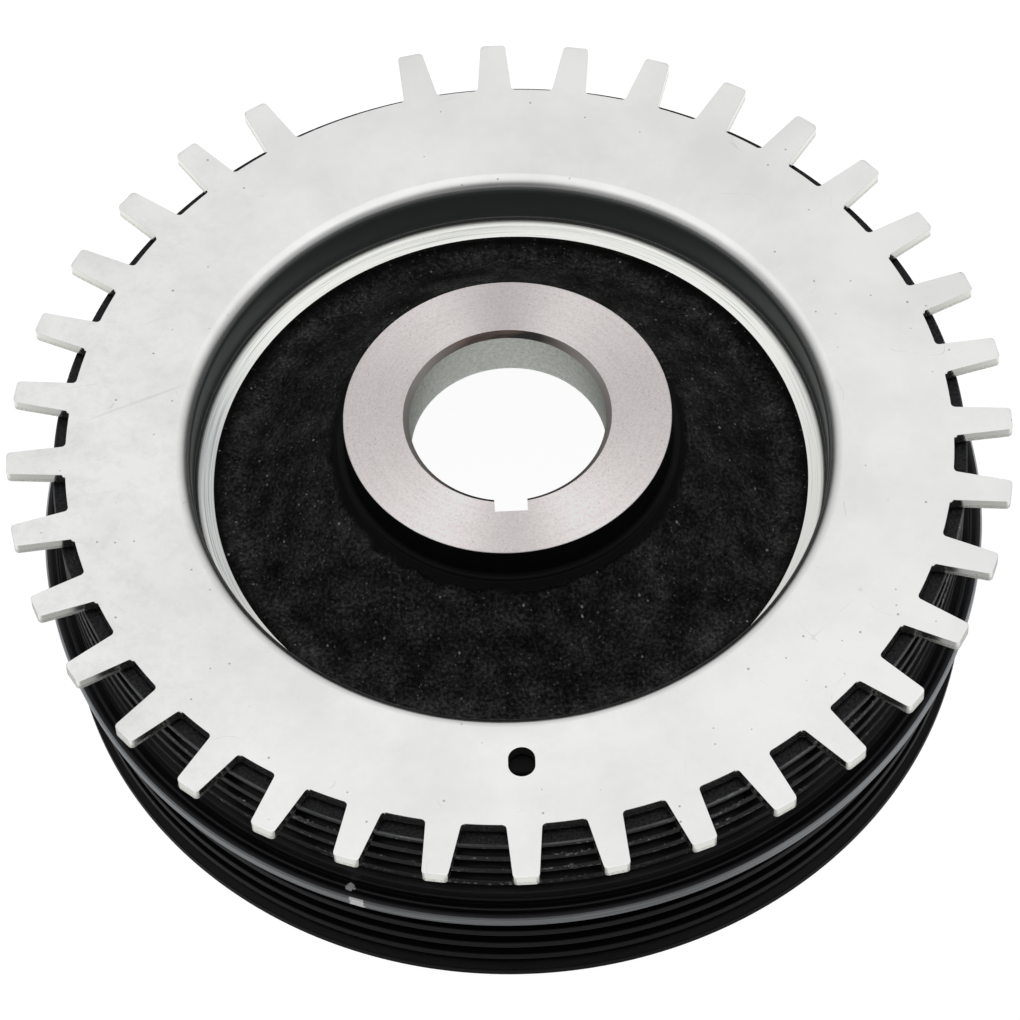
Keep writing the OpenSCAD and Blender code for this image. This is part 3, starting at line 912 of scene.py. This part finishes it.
# Painted reflection: the chamfer lighter left and right of the axis
side = add(tree, "MapRange", sideways(tree, outward), 0.35, 0.9)
colour = add(tree, "Mix", side, colour, "#C4BEBA", data_type="RGBA")
shader = add(tree, "BsdfPrincipled", Base_Color=colour, Metallic=1.0, Roughness=0.45)
add(tree, "OutputMaterial", shader)

# %% [markdown]
# ## Black paint on the hub
# The web keeps the skin of the sand mould under thin black paint: grains of half a millimetre to a
# millimetre, dusty on top, with painted glints, light grey specks in the colour where the paint
# lies on a grain's tip. Around the boss a tool has turned the iron before it was painted, so there
# the paint is smooth. The grain starts again along a wavering line. In the corner under the cup's
# hole the colour is darker, a painted shade.

# %% Paint on cast iron
GRAIN_R = 28.2
cast, tree, point = finish("paint_on_cast_iron")
radius, height, outward = about_axis(tree, point)
wander = add(tree, "TexNoise", Vector=point, Scale=0.3, Detail=4.0)
wander = add(tree, "Math", wander, 2.4, radius, operation="MULTIPLY_ADD")
sandy = add(tree, "MapRange", wander, GRAIN_R, GRAIN_R + 1, **SMOOTH)
lumps = add(tree, "TexNoise", Vector=point, Scale=1.9, Detail=4.0, Roughness=0.65)
patches = add(tree, "TexNoise", Vector=point, Scale=0.22, Detail=3.0)
relief = add(tree, "Math", patches, 2.0, lumps, operation="MULTIPLY_ADD")
relief = add(tree, "Math", relief, sandy, operation="MULTIPLY")
dust = add(tree, "Math", patches, 0.5, lumps, operation="MULTIPLY_ADD")
seat = add(tree, "MapRange", height, SEAT_Z + 1.5, SEAT_Z, 0.0, 0.05)
dust = add(tree, "Math", dust, seat, operation="ADD")
dust = add(tree, "MapRange", dust, 0.48, 1.12)
dust = add(tree, "Math", dust, 2.5, operation="POWER")
# Painted shade in the corner under the cup's hole: the dust fades out there
painted_nook_shade = add(tree, "MapRange", radius, CUP_HOLE_R - 2.2, CUP_HOLE_R - 0.4, 1.0, 0.15)
for share in (sandy, painted_nook_shade):
    dust = add(tree, "Math", dust, share, operation="MULTIPLY")
colour = add(tree, "Mix", dust, "#020202", "#686666", data_type="RGBA")
# Painted glints: light grey specks in the colour, on the rear side alone
painted_glint = specks(tree, point, 0.8, 0.2, 0.025)
fine = specks(tree, point, 1.7, 0.3, 0.08)
painted_glint = add(tree, "Math", fine, 0.4, painted_glint, operation="MULTIPLY_ADD")
rear = add(tree, "MapRange", height, DISH_TOP + 1, SEAT_Z - 1)
for share in (sandy, rear):
    painted_glint = add(tree, "Math", painted_glint, share, operation="MULTIPLY")
colour = add(tree, "Mix", painted_glint, colour, "#8C8C8C", data_type="RGBA")
surface(tree, relief, 0.6, 1.0, Base_Color=colour, Roughness=0.45, Specular_IOR_Level=0.09)

# %% Paint on turned iron
smooth_paint, tree, point = finish("paint_on_turned_iron")
rings = ring_marks(tree, *about_axis(tree, point), 5.0, 3.0, Detail=3.0)
surface(tree, rings, 0.02, 1.0, Base_Color="#0C0C0D", Roughness=0.38, Specular_IOR_Level=0.08)

# %% [markdown]
# ## Paint and bare metal on the ring
# The ring is turned all over and sprayed gloss black. Where belts and hands have rubbed, on the
# ribs behind the flange, the paint is thin and metal shows. The outer edge of the rear face shows
# bare metal in patches too, kept to the near half of the ring: wear and a painted highlight.

# %% Ring paint: rubbed ribs, and a painted highlight on the rear edge
gloss, tree, point = finish("gloss_paint_on_ring")
radius, height, outward = about_axis(tree, point)
rubbed = ring_marks(tree, radius, height, outward, 40.0, 1.2, Detail=4.0, Roughness=0.7)
chips = add(tree, "TexNoise", Vector=point, Scale=1.8, Detail=3.0, Roughness=0.6)
chips = add(tree, "MapRange", chips, 0.52, 0.66, 0.0, 0.6)
wear_and_painted_highlight = add(tree, "MapRange", radius, RIB_R - 0.25, RIB_R - 0.07, **SMOOTH)
behind = add(tree, "MapRange", height, FLANGE_TOP + 3, FLANGE_TOP + 6)
for share in (behind, add(tree, "MapRange", rubbed, 0.52, 0.60), chips):
    wear_and_painted_highlight = add(tree, "Math", wear_and_painted_highlight, share, operation="MULTIPLY")
# The rear face's outer edge on the near half: patchy bare metal and a painted highlight
line = add(tree, "MapRange", height, RING_TOP - 0.35, RING_TOP - 0.2)
outer = add(tree, "MapRange", radius, RIB_R - 0.15, RIB_R - 0.05)
near = add(tree, "SeparateXYZ", outward).outputs["Y"]
near = add(tree, "MapRange", near, 0.3, 0.0)
for share in (outer, near, add(tree, "MapRange", rubbed, 0.35, 0.60, 0.06, 0.28)):
    line = add(tree, "Math", line, share, operation="MULTIPLY")
wear_and_painted_highlight = add(tree, "Math", wear_and_painted_highlight, line, operation="MAXIMUM")

# %% Ring paint: dust on its rear face, and thin paint by the flange
dusty = add(tree, "TexNoise", Vector=point, Scale=2.2, Detail=4.0, Roughness=0.7)
dusty = add(tree, "MapRange", dusty, 0.4, 0.65)
rear = add(tree, "MapRange", height, RING_TOP - 0.05, RING_TOP - 0.01)
dusty = add(tree, "Math", dusty, rear, operation="MULTIPLY")
# Thin on the flange's step and towards its edge
brim = add(tree, "MapRange", radius, FLANGE_R - 1.1, FLANGE_R - 0.3)
thin = add(tree, "Math", line_at(tree, radius, STEP_R, 0.38, 0.1), brim, operation="MAXIMUM")
rear = add(tree, "MapRange", height, FLANGE_TOP - 0.6, FLANGE_TOP - 0.4)
thin = add(tree, "Math", thin, rear, operation="MULTIPLY")
# and on the wall behind the flange
haze = add(tree, "MapRange", height, FLANGE_TOP + 4.2, FLANGE_TOP + 3.2, 0.0, 0.15)
rear = add(tree, "MapRange", height, FLANGE_TOP, FLANGE_TOP + 0.3)
haze = add(tree, "Math", haze, rear, operation="MULTIPLY")
for share in (line_at(tree, height, FLANGE_TOP + 0.8, 0.4, 0.1, 0.6), haze):
    thin = add(tree, "Math", thin, share, operation="MAXIMUM")

# %% Ring paint: a chip, and the skin of sprayed paint
CHIP_ON_FLANGE, CHIP_ON_RIM = (-26.4, -65.9, FLANGE_TOP), (-25.6, -68.2, FLANGE_TOP - 1)
chip = fleck(tree, point, CHIP_ON_FLANGE, 0.8)
colour = "#0B0B0C"
for share, tint in (dusty, "#2F2F33"), (wear_and_painted_highlight, "#B4B7B8"), (thin, "#47474A"), (chip, "#C4C5C4"):
    colour = add(tree, "Mix", share, colour, tint, data_type="RGBA")
peel = add(tree, "TexNoise", Vector=point, Scale=1.4, Detail=2.0)
rings = ring_marks(tree, radius, height, outward, 9.0, 3.5, Detail=3.0)
relief = add(tree, "Math", rings, 0.5, peel, operation="MULTIPLY_ADD")
sprayed = {"Roughness": 0.3, "Specular_IOR_Level": 0.12}
surface(tree, relief, 0.03, 0.8, Base_Color=colour, Metallic=wear_and_painted_highlight, **sprayed)

# %% [markdown]
# Down in the grooves the paint is duller, and nothing has rubbed it.

# %% Paint in the grooves
dull, tree, point = finish("dull_paint_in_grooves")
peel = add(tree, "TexNoise", Vector=point, Scale=1.4, Detail=2.0)
surface(tree, peel, 0.03, 0.8, Base_Color="#060607", Roughness=0.4, Specular_IOR_Level=0.02)

# %% [markdown]
# The flange's rim is the widest line of the ring, so it is rubbed bare all round, and chipped in
# one place. Its colour is darker near and far and lighter left and right, a painted reflection.

# %% Bare flange rim
bare_rim, tree, point = finish("bare_flange_rim")
radius, height, outward = about_axis(tree, point)
rings = ring_marks(tree, radius, height, outward, 12.0, 4.0, Detail=4.0)
shade = add(tree, "MapRange", rings, 0.35, 0.65)
colour = add(tree, "Mix", shade, "#777A7C", "#9A9DA0", data_type="RGBA")
# Painted reflection: the rim's colour darker near and far, much lighter left and right
painted_reflection = add(tree, "MapRange", sideways(tree, outward), 0.3, 0.95, 0.85, 1.7)
colour = add(tree, "VectorMath", colour, Scale=painted_reflection, operation="SCALE")
chip = fleck(tree, point, CHIP_ON_RIM, 1.3)
colour = add(tree, "Mix", chip, colour, "#E8E8E8", data_type="RGBA")
surface(tree, rings, 0.01, 1.0, Base_Color=colour, Metallic=1.0, Roughness=0.4)

# %% [markdown]
# ## Rubber
# Moulded and matt, with a slight grey bloom.

# %% Rubber
moulded, tree, point = finish("moulded_rubber")
bloom = add(tree, "TexNoise", Vector=point, Scale=0.5, Detail=4.0)
colour = add(tree, "Mix", bloom, "#161616", "#2A2A2A", data_type="RGBA")
surface(tree, bloom, 0.05, 0.6, Base_Color=colour, Roughness=0.75, Specular_IOR_Level=0.4)

# %% [markdown]
# ## Which face has which finish
# A rule for each piece looks at a face's middle and at the way it faces, and picks its finish.
# `flat` is 1 on a level face and 0 on an upright one.


# %% Assign
def dress(piece, finishes, rule):
    """Gives each face of a piece the finish that the rule names, and prints how many got each."""
    piece.data.materials.clear()
    for material in finishes:
        piece.data.materials.append(material)
    count = [0] * len(finishes)
    for face in piece.data.polygons:
        x, y, z = (v / MM for v in face.center)
        face.material_index = finishes.index(rule(math.hypot(x, y), x, y, z, abs(face.normal.z)))
        count[face.material_index] += 1
    print(piece.name, dict(zip((m.name for m in finishes), count)))


def hub_rule(r, x, y, z, flat):
    in_key = abs(x) < KEY_W / 2 + 0.02 and y < 0 and r < BORE_R + KEY_DEPTH + 0.1
    if r < BORE_R + 0.02 and flat < 0.6 or in_key and flat < 0.3:
        return bore_iron
    if r < BORE_R + CHAMFER + 0.02 and flat < 0.9:
        return stained
    if r < BOSS_R and z > BOSS_TOP - 0.1 or r < DISH_IN_R - 0.4 and z < BOSS_FRONT + 0.1:
        return turned_face
    if r < WEB_IN_R + 0.1 and z > WEB_TOP - 2.2 or z > RIM_TOP - 1.2 or z < RIM_FRONT + 0.5:
        return smooth_paint
    return cast


def ring_rule(r, x, y, z, flat):
    if r > FLANGE_R - 0.25:
        return bare_rim
    in_grooves = RING_IN_R + 1 < r < RIB_R - 0.12 and FIRST_GROOVE_Z < z < FLANGE_Z
    return dull if in_grooves else gloss


def wheel_rule(r, x, y, z, flat):
    in_cup = CUP_HOLE_R + 0.3 < r < MOUTH_R + 0.3
    return edge if flat < 0.35 and not in_cup else zinc


dress(hub, [cast, smooth_paint, turned_face, bore_iron, stained], hub_rule)
dress(rubber, [moulded], lambda *face: moulded)
dress(ring, [gloss, dull, bare_rim], ring_rule)
dress(wheel, [zinc, edge], wheel_rule)

# %% [markdown]
# ## Hand over
# Each piece rides with the part and takes its CAD node's place.

# %% Ride and replace
for piece, node, slot_name in (
    (hub, "hub", "black_iron"),
    (rubber, "rubber_ring", "rubber"),
    (ring, "outer_ring", "painted_ring"),
    (wheel, "trigger_wheel", "zinc_steel"),
):
    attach(piece, "root")
    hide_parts(node)
